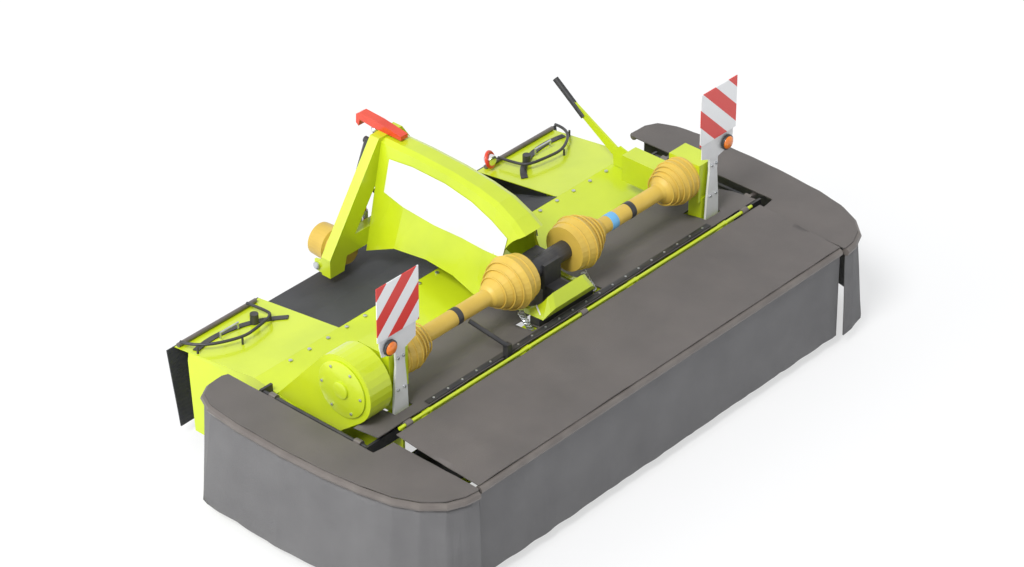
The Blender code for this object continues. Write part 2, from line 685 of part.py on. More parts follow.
def build_intensity_lever():
    rise = (SEAM_Z - HOOD_FRONT_Z) / (SEAM_Y - HOOD_FRONT_Y - 0.004)
    x = 1.25
    y = 0.33
    hood_top = HOOD_FRONT_Z + SHEET + rise * (0.38 - HOOD_FRONT_Y) - 0.0001
    bracket = [(0.27, hood_top), (0.38, hood_top), (0.39, 0.64), (0.34, 0.68), (0.27, 0.66)]
    lever = plate([bracket], "YZ", x, 0.008)
    arm = [(y, 0.59), (0.40, 0.61), (0.685, 0.80), (0.672, 0.825), (0.37, 0.66)]
    joined(lever, plate([arm], "YZ", x + 0.008, 0.012))
    named(lever, "intensity_lever", LIME)


def build_springs():
    turns = 7
    per_turn = 10
    top = (0.235, -0.285, 0.665)
    low = (0.235, -0.36, BEAM_TOP + 0.0035 + GAP)
    for side, sign in TWO_SIDES:
        route = []
        for i in range(turns * per_turn + 1):
            t = i / (turns * per_turn)
            angle = 2 * pi * i / per_turn
            along = [a + (b - a) * t for a, b in zip(low, top)]
            route.append((sign * (along[0] + 0.015 * cos(angle)), along[1] + 0.015 * sin(angle), along[2]))
        named(tube(route, 0.0035, sides=1), f"relief_spring_{side}", ZINC)


def build_shaft_strut():
    top = (-0.60, SHAFT_Y - TUBE_RADIUS - 0.012, SHAFT_Z - 0.02)
    low = (-0.50, HINGE_Y + 0.045, 0.665)
    strut = tube([top, low], 0.012, sides=2)
    joined(strut, box((low[0] - 0.015, low[1] - 0.012, BEAM_TOP + GAP),
                      (low[0] + 0.015, low[1] + 0.02, low[2] + 0.012)))
    named(strut, "shaft_strut", DARK_STEEL)


# ---------------------------------------------------------------- covers and guards
TARP_LINE = [(-0.4425, 0.600), (-0.29, 0.584), (-0.15, 0.552), (HOOD_FRONT_Y - SHEET - GAP, 0.512)]


def build_centre_tarp():
    half = 1.405
    tarp = plate([sheet_profile(TARP_LINE, CLOTH)], "YZ", 0.0, 2 * half)
    clear = 0.006
    cut(tarp, belt_block(clear, -FRAME_X - FRAME_THICK + 0.004, -half - 0.1))
    cut(tarp, box((-0.20 - clear, BEAM_REAR - 0.09, 0.55), (0.20 + clear, BEAM_REAR + 0.04, 0.70)))
    for side, sign in TWO_SIDES:
        low, high = sorted((sign * (SIDE_BOX_IN + 0.02 - clear), sign * (POST_X + 0.05 + clear)))
        cut(tarp, box((low, POST_Y - 0.02, 0.55), (high, SHAFT_Y + 0.01, 0.70)))
        low, high = sorted((sign * 0.21, sign * 0.26))
        cut(tarp, box((low, -0.39, 0.55), (high, -0.27, 0.70)))
    cut(tarp, box((-0.525, HINGE_Y, 0.55), (-0.475, HINGE_Y + 0.08, 0.70)))
    named(tarp, "centre_tarp", FABRIC)


def build_front_guard():
    centre = (0, FRONT_TUBE_Y, FRONT_TUBE_Z)
    frame = rod(-FRONT_HALF, FRONT_HALF, "X", centre, GUARD_TUBE, 16)
    for x in (-1.25, 0.0, 1.25):
        eye = (x, HINGE_Y, HINGE_Z)
        joined(frame, tube([(x, FRONT_TUBE_Y, FRONT_TUBE_Z - 0.004),
                            (x, HINGE_Y - 0.03, HINGE_Z - 0.045)], ARM_RADIUS, sides=2))
        joined(frame, tube([(x, HINGE_Y - 0.034, HINGE_Z - 0.047),
                            (x, HINGE_Y - 0.006, HINGE_Z - 0.013)], ARM_RADIUS * 0.7, sides=2))
        joined(frame, ring(-0.02, 0.02, "X", eye, HINGE_ROD + 0.008, HINGE_ROD + PIN_GAP, 16))
        cut(frame, rod(-0.05, 0.05, "X", eye, HINGE_ROD + PIN_GAP * 0.9, 16))
    named(frame, "front_guard_frame", GREY_TUBE)
    rise = FRONT_TUBE_Z + GUARD_TUBE + GAP
    line = [(FRONT_TUBE_Y, rise), (-0.78, 0.600), (HINGE_Y - 0.022, HINGE_Z - 0.008)]
    tarp = plate([sheet_profile(line, CLOTH)], "YZ", 0.0, 2 * FRONT_HALF)
    named(tarp, "front_tarp", FABRIC)
    top = FRONT_TUBE_Z - GUARD_TUBE - GAP
    curtain = box((-FRONT_HALF, FRONT_TUBE_Y - CLOTH / 2, CURTAIN_BOTTOM),
                  (FRONT_HALF, FRONT_TUBE_Y + CLOTH / 2, top))
    named(curtain, "front_curtain", FABRIC)


HOOP_POINTS = (
    # x, y of the tube's middle, from its rear end round to the front
    (1.52, 0.48), (1.61, 0.475), (1.675, 0.44), (1.72, 0.35), (1.74, 0.15), (1.745, -0.15), (1.735, -0.40),
    (1.71, -0.62), (1.675, -0.79), (1.62, -0.91), (1.54, -1.00), (1.45, -1.04), (1.375, -1.05),
)


def hoop_route(sign):
    return [(sign * x, y, HOOP_Z) for x, y in HOOP_POINTS]


def build_side_guards():
    for side, sign in TWO_SIDES:
        frame = tube(hoop_route(sign), GUARD_TUBE, sides=2)
        for y in (-0.36, 0.20):
            eye = (sign * PIVOT_X, 0, PIVOT_Z)
            reach = sorted((sign * (PIVOT_X + 0.016), sign * 1.735))
            joined(frame, rod(reach[0], reach[1], "X", (0, y, PIVOT_Z), ARM_RADIUS, 16))
            joined(frame, ring(y - 0.02, y + 0.02, "Y", eye, SLEEVE, PIVOT_PIN + PIN_GAP, 16))
        named(frame, f"side_guard_frame_{side}", GREY_TUBE)

        edge = [(sign * x, y) for x, y in HOOP_POINTS]
        inner = [(1.366, -1.04), (1.366, -0.505), (1.487, -0.49), (1.487, 0.47)]
        outline = edge + [(sign * x, y) for x, y in inner]
        rest = HOOP_Z + GUARD_TUBE + GAP + CLOTH / 2
        named(plate([outline], "XY", rest, CLOTH), f"side_tarp_{side}", FABRIC)

        named(side_curtain(sign), f"side_curtain_{side}", FABRIC)


def side_curtain(sign):
    """Cloth hung under the hoop, standing out a little towards its hem."""
    places = HOOP_POINTS[1:]
    top = HOOP_Z - GUARD_TUBE - GAP
    rings = []
    for i, (x, y) in enumerate(places):
        before = places[max(i - 1, 0)]
        after = places[min(i + 1, len(places) - 1)]
        run = hypot(after[0] - before[0], after[1] - before[1])
        out = (-(after[1] - before[1]) / run, (after[0] - before[0]) / run)
        flare = CURTAIN_FLARE * max(0.0, out[0]) * min(1.0, i / 2)
        strip = []
        for offset, z in ((CLOTH / 2, top), (flare + CLOTH / 2, CURTAIN_BOTTOM),
                          (flare - CLOTH / 2, CURTAIN_BOTTOM), (-CLOTH / 2, top)):
            strip.append((sign * (x + out[0] * offset), y + out[1] * offset, z))
        rings.append(strip)
    return loft(rings)


def build_guard_hinges():
    for side, sign in TWO_SIDES:
        pin = rod(-0.425, 0.285, "Y", (sign * PIVOT_X, 0, PIVOT_Z), PIVOT_PIN, 16)
        low, high = sorted((sign * (FRAME_X + FRAME_THICK + GAP), sign * (PIVOT_X + 0.018)))
        joined(pin, box((low, -0.432, 0.52), (high, -0.418, 0.578)))
        z = 0.49
        low, high = sorted((sign * (plate_face(z) + GAP), sign * (PIVOT_X + 0.018)))
        joined(pin, box((low, 0.265, z), (high, 0.279, 0.577)))
        named(pin, f"guard_hinge_{side}", DARK_STEEL)


# ---------------------------------------------------------------- swath boards and stands
def build_swath_boards():
    x, y = BOARD_PIVOT
    for side, sign in TWO_SIDES:
        outline = [(y - 0.01, 0.14), (y + 0.40, 0.12), (y + 0.40, 0.40), (y - 0.01, 0.44)]
        board = plate([outline], "YZ", sign * x, 0.004)
        top = wing_z(y + 0.012) - GAP
        joined(board, rod(0.13, top, "Z", (sign * x, y, 0), 0.012, 16))
        named(board, f"swath_board_{side}", LIME)


def build_parking_stands():
    foot = 0.008
    for side, sign in TWO_SIDES:
        low, high = sorted((sign * (STAND_X - 0.017), sign * (STAND_X + 0.017)))
        leg = box((low, STAND_Y - 0.017, foot / 2), (high, STAND_Y + 0.017, STAND_PIVOT_Z + 0.02))
        low, high = sorted((sign * (STAND_X - 0.045), sign * (STAND_X + 0.045)))
        joined(leg, box((low, STAND_Y - 0.045, 0.0), (high, STAND_Y + 0.045, foot)))
        wall = plate_face(STAND_PIVOT_Z + 0.012) - 0.005 / cos(0.164) - 0.0006
        reach = sorted((sign * STAND_X, sign * wall))
        joined(leg, rod(reach[0], reach[1], "X", (0, STAND_Y, STAND_PIVOT_Z), 0.012, 16))
        named(leg, f"parking_stand_{side}", DARK_STEEL)


build_cutter_bar()
build_discs()
build_rotor()
build_side_frames()
build_main_beam()
build_belt_cover()
build_hood()
build_wings()
build_mat()
build_end_plates()
build_arch()
build_main_gearbox()
build_shaft_guards()
build_side_gearboxes()
build_headstock()
build_top_hook()
build_lift_cylinder()
build_coupling_rail()
build_hoses()
build_input_guard()
build_warning_boards()
build_quadrants()
build_intensity_lever()
build_springs()
build_shaft_strut()
build_centre_tarp()
build_front_guard()
build_side_guards()
build_guard_hinges()
build_swath_boards()
build_parking_stands()
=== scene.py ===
from math import cos, hypot, pi, radians, sin

import bmesh
import bpy
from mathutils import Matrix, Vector, noise


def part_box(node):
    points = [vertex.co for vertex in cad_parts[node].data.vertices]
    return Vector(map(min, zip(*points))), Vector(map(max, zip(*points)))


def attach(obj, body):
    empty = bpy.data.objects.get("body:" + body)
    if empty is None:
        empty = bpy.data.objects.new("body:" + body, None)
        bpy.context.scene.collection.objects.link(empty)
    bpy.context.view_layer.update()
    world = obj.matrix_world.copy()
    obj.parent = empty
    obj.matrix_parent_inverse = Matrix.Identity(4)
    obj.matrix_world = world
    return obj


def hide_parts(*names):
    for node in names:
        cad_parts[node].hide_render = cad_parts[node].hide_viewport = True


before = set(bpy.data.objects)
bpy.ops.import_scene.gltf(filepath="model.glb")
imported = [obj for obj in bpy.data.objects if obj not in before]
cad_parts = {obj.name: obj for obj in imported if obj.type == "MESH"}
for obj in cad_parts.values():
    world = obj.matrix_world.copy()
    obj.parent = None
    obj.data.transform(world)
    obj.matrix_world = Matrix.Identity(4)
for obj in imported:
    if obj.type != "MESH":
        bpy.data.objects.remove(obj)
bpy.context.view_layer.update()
print("frame loaded")

# camera, lights and floor
view = {"place": (-11.3401, -10.1934, 10.6346), "tilt": 56.61, "turn": -48.11, "lens": 129.2}
camera = bpy.data.objects.new("viewCamera", bpy.data.cameras.new("viewCamera"))
camera.location = view["place"]
camera.rotation_euler = (radians(view["tilt"]), 0, radians(view["turn"]))
camera.data.lens = view["lens"]
camera.data.sensor_width = 36
bpy.context.scene.collection.objects.link(camera)
bpy.context.scene.camera = camera
bpy.context.scene.view_settings.view_transform = "Standard"

lamps = {  # name: kind, power, size, place, turn in degrees
    "keySun": ("SUN", 2.3, 0.35, (0, 0, 6), (38, -8, -70)),
    "fillArea": ("AREA", 190, 5.0, (-6, 3, 4.5), (58, 0, -118)),
}
for lampName, (kind, power, size, place, turn) in lamps.items():
    lamp = bpy.data.objects.new(lampName, bpy.data.lights.new(lampName, kind))
    lamp.data.energy = power
    if kind == "SUN":
        lamp.data.angle = size
    else:
        lamp.data.size = size
    lamp.location = place
    lamp.rotation_euler = [radians(a) for a in turn]
    bpy.context.scene.collection.objects.link(lamp)

world = bpy.data.worlds.new("studio")
bpy.context.scene.world = world
world.use_nodes = True
tree = world.node_tree
tree.nodes.clear()
out = tree.nodes.new("ShaderNodeOutputWorld")
lit = tree.nodes.new("ShaderNodeBackground")
lit.inputs["Color"].default_value = (0.93, 0.96, 1.0, 1)
lit.inputs["Strength"].default_value = 0.62
seen = tree.nodes.new("ShaderNodeBackground")
seen.inputs["Color"].default_value = (1, 1, 1, 1)
seen.inputs["Strength"].default_value = 1.0
path = tree.nodes.new("ShaderNodeLightPath")
eitherRay = tree.nodes.new("ShaderNodeMath")
eitherRay.operation = "MAXIMUM"
mixed = tree.nodes.new("ShaderNodeMixShader")
tree.links.new(path.outputs["Is Camera Ray"], eitherRay.inputs[0])
tree.links.new(path.outputs["Is Glossy Ray"], eitherRay.inputs[1])
tree.links.new(eitherRay.outputs[0], mixed.inputs[0])
tree.links.new(lit.outputs[0], mixed.inputs[1])
tree.links.new(seen.outputs[0], mixed.inputs[2])
tree.links.new(mixed.outputs[0], out.inputs["Surface"])


bothSides = ((1, "left"), (-1, "right"))


def deselectAll():
    if bpy.context.object and bpy.context.object.mode != "OBJECT":
        bpy.ops.object.mode_set(mode="OBJECT")
    bpy.ops.object.select_all(action="DESELECT")


ground = {"size": 60, "z": -0.001, "colour": (0.86, 0.86, 0.86), "white": 0.62}
deselectAll()
bpy.ops.mesh.primitive_plane_add(size=ground["size"], location=(0, 0, ground["z"]))
floor = bpy.context.object
floor.name = "studioFloor"
floorPaint = bpy.data.materials.new("floorPaint")
floorPaint.use_nodes = True
tree = floorPaint.node_tree
tree.nodes.clear()
out = tree.nodes.new("ShaderNodeOutputMaterial")
matt = tree.nodes.new("ShaderNodeBsdfDiffuse")
matt.inputs["Color"].default_value = (*ground["colour"], 1)
glow = tree.nodes.new("ShaderNodeEmission")
glow.inputs["Color"].default_value = (1, 1, 1, 1)
path = tree.nodes.new("ShaderNodeLightPath")
share = tree.nodes.new("ShaderNodeMath")
share.operation = "MULTIPLY"
share.inputs[1].default_value = ground["white"]
mixed = tree.nodes.new("ShaderNodeMixShader")
tree.links.new(path.outputs["Is Camera Ray"], share.inputs[0])
tree.links.new(share.outputs[0], mixed.inputs[0])
tree.links.new(matt.outputs[0], mixed.inputs[1])
tree.links.new(glow.outputs[0], mixed.inputs[2])
tree.links.new(mixed.outputs[0], out.inputs["Surface"])
floor.data.materials.append(floorPaint)
print("camera, lights and floor ready")

# finishes: colour, second colour, pattern scale, roughness, metallic, bump, coat
finishes = {
    "limeGloss": ((0.56, 0.67, 0.012), (0.47, 0.58, 0.012), 3.0, 0.30, 0.0, 0.03, 0.5),
    "satinBlack": ((0.030, 0.030, 0.034), (0.055, 0.053, 0.05), 14.0, 0.45, 0.2, 0.08, 0.1),
    "browngreyTube": ((0.125, 0.108, 0.098), (0.165, 0.145, 0.13), 9.0, 0.42, 0.1, 0.06, 0.2),
    "ochrePlastic": ((0.66, 0.45, 0.07), (0.56, 0.37, 0.06), 5.0, 0.42, 0.0, 0.10, 0.1),
    "whiteGloss": ((0.80, 0.80, 0.80), (0.70, 0.70, 0.69), 6.0, 0.30, 0.0, 0.03, 0.4),
    "redGloss": ((0.72, 0.05, 0.013), (0.60, 0.035, 0.012), 7.0, 0.35, 0.0, 0.03, 0.4),
    "zincPlate": ((0.60, 0.62, 0.64), (0.42, 0.44, 0.46), 22.0, 0.30, 0.9, 0.06, 0.0),
    "chromeRod": ((0.80, 0.81, 0.83), (0.70, 0.71, 0.74), 30.0, 0.12, 1.0, 0.02, 0.0),
    "hoseBlack": ((0.018, 0.018, 0.020), (0.035, 0.034, 0.034), 60.0, 0.50, 0.0, 0.15, 0.0),
    "amberLens": ((0.85, 0.22, 0.01), (0.70, 0.14, 0.005), 40.0, 0.15, 0.0, 0.20, 0.6),
    "bandBlue": ((0.16, 0.45, 0.75), (0.12, 0.38, 0.66), 10.0, 0.40, 0.0, 0.02, 0.2),
}


def startMaterial(name, roughness, metallic=0.0, coat=0.0):
    material = bpy.data.materials.new(name)
    material.use_nodes = True
    shader = material.node_tree.nodes["Principled BSDF"]
    shader.inputs["Roughness"].default_value = roughness
    shader.inputs["Metallic"].default_value = metallic
    shader.inputs["Coat Weight"].default_value = coat
    shader.inputs["Coat Roughness"].default_value = 0.12
    coords = material.node_tree.nodes.new("ShaderNodeTexCoord").outputs["Object"]
    return material, material.node_tree, shader, coords


def noiseOn(tree, coords, scale, detail=5.0):
    grain = tree.nodes.new("ShaderNodeTexNoise")
    grain.inputs["Scale"].default_value = scale
    grain.inputs["Detail"].default_value = detail
    tree.links.new(coords, grain.inputs["Vector"])
    return grain.outputs["Fac"]


def rampOf(tree, value, low, high, colourLow, colourHigh):
    ramp = tree.nodes.new("ShaderNodeValToRGB")
    ramp.color_ramp.elements[0].position = low
    ramp.color_ramp.elements[1].position = high
    ramp.color_ramp.elements[0].color = (*colourLow, 1)
    ramp.color_ramp.elements[1].color = (*colourHigh, 1)
    tree.links.new(value, ramp.inputs["Fac"])
    return ramp.outputs["Color"]


def bumpFrom(tree, shader, height, strength, distance):
    bump = tree.nodes.new("ShaderNodeBump")
    bump.inputs["Strength"].default_value = strength
    bump.inputs["Distance"].default_value = distance
    tree.links.new(height, bump.inputs["Height"])
    tree.links.new(bump.outputs["Normal"], shader.inputs["Normal"])


def plainFinish(name):
    colour, second, scale, roughness, metallic, bumpSize, coat = finishes[name]
    material, tree, shader, coords = startMaterial(name, roughness, metallic, coat)
    cloudy = noiseOn(tree, coords, scale)
    tree.links.new(rampOf(tree, cloudy, 0.38, 0.72, colour, second), shader.inputs["Base Color"])
    rough = tree.nodes.new("ShaderNodeMapRange")
    rough.inputs["To Min"].default_value = roughness * 0.85
    rough.inputs["To Max"].default_value = roughness * 1.3
    tree.links.new(noiseOn(tree, coords, scale * 6, 3.0), rough.inputs["Value"])
    tree.links.new(rough.outputs["Result"], shader.inputs["Roughness"])
    bumpFrom(tree, shader, noiseOn(tree, coords, scale * 25, 2.0), bumpSize, 0.002)
    return material


paints = {name: plainFinish(name) for name in finishes}


def clothFinish(name, colour, second, weave, roughness):
    # coated cloth: mottled colour, pressed creases and a fine weave
    material, tree, shader, coords = startMaterial(name, roughness)
    mottled = rampOf(tree, noiseOn(tree, coords, 4.0, 8.0), 0.30, 0.75, colour, second)
    tree.links.new(mottled, shader.inputs["Base Color"])
    threads = []
    for axis in ("X", "Y"):
        wave = tree.nodes.new("ShaderNodeTexWave")
        wave.bands_direction = axis
        wave.inputs["Scale"].default_value = weave
        wave.inputs["Distortion"].default_value = 0.4
        tree.links.new(coords, wave.inputs["Vector"])
        threads.append(wave.outputs["Fac"])
    woven = tree.nodes.new("ShaderNodeMath")
    woven.operation = "ADD"
    tree.links.new(threads[0], woven.inputs[0])
    tree.links.new(threads[1], woven.inputs[1])
    crease = tree.nodes.new("ShaderNodeMath")
    crease.operation = "MULTIPLY_ADD"
    crease.inputs[1].default_value = 6.0
    tree.links.new(noiseOn(tree, coords, 9.0, 6.0), crease.inputs[0])
    tree.links.new(woven.outputs[0], crease.inputs[2])
    bumpFrom(tree, shader, crease.outputs[0], 0.35, 0.004)
    return material


paints["coverCloth"] = clothFinish("coverCloth", (0.135, 0.120, 0.112), (0.105, 0.095, 0.090), 260, 0.62)
paints["curtainCloth"] = clothFinish("curtainCloth", (0.150, 0.147, 0.148), (0.118, 0.115, 0.117), 260, 0.60)
paints["blackRubber"] = clothFinish("blackRubber", (0.030, 0.031, 0.036), (0.050, 0.052, 0.058), 90, 0.55)

stripes = {"pitch": 0.200, "red": (0.72, 0.03, 0.02), "white": (0.86, 0.86, 0.86)}


def boardFinish(name, slope):
    # diagonal red and white bands, rising to the outer or inner side
    material, tree, shader, coords = startMaterial(name, 0.35, 0.0, 0.3)
    split = tree.nodes.new("ShaderNodeSeparateXYZ")
    tree.links.new(coords, split.inputs[0])
    along = tree.nodes.new("ShaderNodeMath")
    along.operation = "MULTIPLY_ADD"
    along.inputs[1].default_value = slope
    tree.links.new(split.outputs["X"], along.inputs[0])
    tree.links.new(split.outputs["Z"], along.inputs[2])
    turns = tree.nodes.new("ShaderNodeMath")
    turns.operation = "DIVIDE"
    turns.inputs[1].default_value = stripes["pitch"]
    tree.links.new(along.outputs[0], turns.inputs[0])
    part = tree.nodes.new("ShaderNodeMath")
    part.operation = "FRACT"
    tree.links.new(turns.outputs[0], part.inputs[0])
    colour = rampOf(tree, part.outputs[0], 0.495, 0.505, stripes["red"], stripes["white"])
    tree.links.new(colour, shader.inputs["Base Color"])
    bumpFrom(tree, shader, noiseOn(tree, coords, 500, 2.0), 0.05, 0.001)
    return material


paints["boardNear"] = boardFinish("boardNear", -1.0)
paints["boardFar"] = boardFinish("boardFar", 1.0)

nodeFinish = {
    "satinBlack": ["conditioner_rotor", "main_gearbox", "lift_cylinder", "shaft_strut", "swath_quadrant",
                   "guard_hinge", "parking_stand", "mowing_disc"],
    "limeGloss": ["cutter_bar", "side_frame", "main_beam", "belt_cover", "hood", "rear_wing", "end_plate",
                  "arch", "side_gearbox", "headstock", "intensity_lever", "swath_board"],
    "coverCloth": ["centre_tarp", "front_tarp", "side_tarp"],
    "curtainCloth": ["front_curtain", "side_curtain"],
    "blackRubber": ["centre_mat", "rear_flap"],
    "browngreyTube": ["front_guard_frame", "side_guard_frame"],
    "ochrePlastic": ["input_guard", "shaft_guard"],
    "whiteGloss": ["board_post"],
    "redGloss": ["top_hook"],
    "zincPlate": ["coupling_rail", "relief_spring"],
    "hoseBlack": ["hose_long", "hose_loop"],
    "boardNear": ["warning_board_right"],
    "boardFar": ["warning_board_left"],
}


def finishFor(node):
    for name, starts in nodeFinish.items():
        if any(node.startswith(start) for start in starts):
            return paints[name]
    return paints["limeGloss"]


for node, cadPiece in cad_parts.items():
    for place in cadPiece.material_slots:
        place.material = finishFor(node)
print("finishes on the frame")


def finishPiece(piece, name, finish, body="root", bevel=0.0, smooth=35):
    piece.name = name
    piece.data.name = name
    bpy.context.view_layer.objects.active = piece
    piece.select_set(True)
    bpy.ops.object.transform_apply(location=True, rotation=True, scale=True)
    if bevel:
        rounding = piece.modifiers.new("rounding", "BEVEL")
        rounding.width = bevel
        rounding.segments = 2
        rounding.limit_method = "ANGLE"
        bpy.ops.object.modifier_apply(modifier=rounding.name)
    piece.data.materials.clear()
    piece.data.materials.append(paints[finish])
    bpy.ops.object.shade_smooth_by_angle(angle=radians(smooth))
    deselectAll()
    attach(piece, body)
    return piece


def pipeAlong(name, points, radius, finish, body="root", smoothRoute=True):
    line = bpy.data.curves.new(name, "CURVE")
    line.dimensions = "3D"
    line.bevel_depth = radius
    line.bevel_resolution = 4
    line.use_fill_caps = True
    run = line.splines.new("NURBS" if smoothRoute else "POLY")
    run.points.add(len(points) - 1)
    for spot, place in zip(run.points, points):
        spot.co = (*place, 1)
    if smoothRoute:
        run.order_u = 3
        run.use_endpoint_u = True
    piece = bpy.data.objects.new(name, line)
    bpy.context.scene.collection.objects.link(piece)
    deselectAll()
    bpy.context.view_layer.objects.active = piece
    piece.select_set(True)
    bpy.ops.object.convert(target="MESH")
    return finishPiece(bpy.context.object, name, finish, body)


def roundBar(radius, depth, place, axis="Z", sides=24):
    deselectAll()
    turn = {"X": (0, pi / 2, 0), "Y": (pi / 2, 0, 0), "Z": (0, 0, 0)}[axis]
    bpy.ops.mesh.primitive_cylinder_add(vertices=sides, radius=radius, depth=depth, location=place, rotation=turn)
    return bpy.context.object


def joinAll(pieces):
    deselectAll()
    for piece in pieces:
        piece.select_set(True)
    bpy.context.view_layer.objects.active = pieces[0]
    if len(pieces) > 1:
        bpy.ops.object.join()
    return bpy.context.object


# cloth and rubber sheets: each is its flat panel, cut into a grid, then raised or pushed into folds
sheets = {
    # node: body, grid step, flat size, how it is held, what it rests on, kind of fall
    "centre_tarp": ("root", 0.035, (2.82, 0.52), "stretched", ["main_beam", "hood"], "cover"),
    "front_tarp": ("front_guard", 0.035, (2.72, 0.56), "stretched", ["front_guard_frame"], "cover"),
    "front_curtain": ("front_guard", 0.035, (2.72, 0.50), "hung", ["front_guard_frame"], "hang"),
    "side_tarp_left": ("side_guard_left", 0.03, (0.40, 1.56), "stretched", ["side_guard_frame_left"], "cover"),
    "side_tarp_right": ("side_guard_right", 0.03, (0.40, 1.56), "stretched", ["side_guard_frame_right"], "cover"),
    "side_curtain_left": ("side_guard_left", 0.03, (2.20, 0.52), "hung", ["side_guard_frame_left"], "hang"),
    "side_curtain_right": ("side_guard_right", 0.03, (2.20, 0.52), "hung", ["side_guard_frame_right"], "hang"),
    "centre_mat": ("root", 0.035, (1.63, 0.60), "stretched", ["rear_wing_left", "rear_wing_right"], "mat"),
    "rear_flap_left": ("root", 0.03, (0.64, 0.44), "hung", ["rear_wing_left"], "flap"),
    "rear_flap_right": ("root", 0.03, (0.64, 0.44), "hung", ["rear_wing_right"], "flap"),
}
foldSize = {"cover": 0.011, "hang": 0.016, "mat": 0.006, "flap": 0.004, "hem": 0.06, "top": 0.54}


def sagAt(kind, spot, side):
    # how far a point of a sheet moves as the sheet hangs
    slow = noise.noise(Vector((spot.x * 3.1, spot.y * 3.1, 0.3)))
    quick = noise.noise(Vector((spot.x * 11.0, spot.y * 9.0, 2.7)))
    if kind == "cover":
        lift = foldSize["cover"] * (0.55 * abs(slow) + 0.45 * abs(quick))
        return Vector((0, 0, lift))
    if kind == "mat":
        return Vector((0, 0, -foldSize["mat"] * abs(slow) * 0.2))
    low = max(0.0, min(1.0, (foldSize["top"] - spot.z) / (foldSize["top"] - foldSize["hem"])))
    fold = noise.noise(Vector((spot.x * 5.0, spot.y * 5.0, spot.z * 0.8)))
    small = noise.noise(Vector((spot.x * 16.0, spot.y * 16.0, spot.z * 5.0)))
    size = foldSize["hang"] if kind == "hang" else foldSize["flap"]
    push = size * low * (fold + 0.25 * small)
    if side == 0 or kind == "flap":
        return Vector((0, push if kind == "flap" else -abs(push), 0))
    hub = Vector((side * 1.38, max(-0.70, min(0.35, spot.y)), spot.z))
    out = Vector((spot.x - hub.x, spot.y - hub.y, 0))
    out.normalize()
    return out * push


for node, (body, step, flat, held, rests, kind) in sheets.items():
    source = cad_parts[node]
    side = 1 if node.endswith("left") else (-1 if node.endswith("right") else 0)
    cloth = bmesh.new()
    cloth.from_mesh(source.data)
    bmesh.ops.remove_doubles(cloth, verts=cloth.verts, dist=0.00002)
    cutArea = min(sum(face.calc_area() for face in cloth.faces) / 2, flat[0] * flat[1])
    bmesh.ops.dissolve_limit(cloth, angle_limit=radians(0.6), verts=cloth.verts, edges=cloth.edges)
    low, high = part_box(node)
    for axis in range(3):
        if high[axis] - low[axis] < 0.12 and kind != "hang":
            continue
        count = int((high[axis] - low[axis]) / step)
        for i in range(1, count):
            spot = Vector((0, 0, 0))
            spot[axis] = low[axis] + (high[axis] - low[axis]) * i / count
            normal = Vector((0, 0, 0))
            normal[axis] = 1
            bmesh.ops.bisect_plane(cloth, geom=cloth.verts[:] + cloth.edges[:] + cloth.faces[:],
                                   plane_co=spot, plane_no=normal, dist=0.0002)
    for corner in cloth.verts:
        corner.co += sagAt(kind, corner.co.copy(), side)
    bmesh.ops.triangulate(cloth, faces=[face for face in cloth.faces if len(face.verts) > 4])
    shape = bpy.data.meshes.new(node + "_cloth")
    cloth.to_mesh(shape)
    cloth.free()
    piece = bpy.data.objects.new(node + "_cloth", shape)
    bpy.context.scene.collection.objects.link(piece)
    deselectAll()
    finish = {"cover": "coverCloth", "hang": "curtainCloth", "mat": "blackRubber", "flap": "blackRubber"}[kind]
    finishPiece(piece, node + "_cloth", finish, body, smooth=50)
    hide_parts(node)
print("cloth hung")

# white band down each side of the arch
arch = {
    # top y, top z, top half width, low y, low z, band start and end down the side
    "rows": [(0.72, 1.130, 0.070, 0.73, 0.580, 0.14, 0.46), (0.56, 1.130, 0.070, 0.60, 0.625, 0.12, 0.55),
             (0.34, 1.120, 0.070, 0.38, 0.655, 0.12, 0.60), (0.16, 1.100, 0.072, 0.20, 0.640, 0.14, 0.56),
             (0.02, 1.070, 0.075, 0.06, 0.590, 0.17, 0.50), (-0.09, 1.015, 0.080, -0.06, 0.610, 0.20, 0.45),
             (-0.19, 0.940, 0.088, -0.15, 0.625, 0.24, 0.46), (-0.28, 0.865, 0.100, -0.24, 0.630, 0.30, 0.52),
             (-0.36, 0.785, 0.125, -0.32, 0.635, 0.42, 0.68), (-0.395, 0.735, 0.140, -0.37, 0.638, 0.60, 0.84)],
    "lowHalf": 0.195, "proud": 0.0012, "bore": 0.165, "shaft": (-0.23, 0.81),
}


def archSpot(row, share, side, proud):
    topY, topZ, half, lowY, lowZ = row[:5]
    return (side * (half + (arch["lowHalf"] - half) * share + proud), topY + (lowY - topY) * share,
            topZ + (lowZ - topZ) * share)


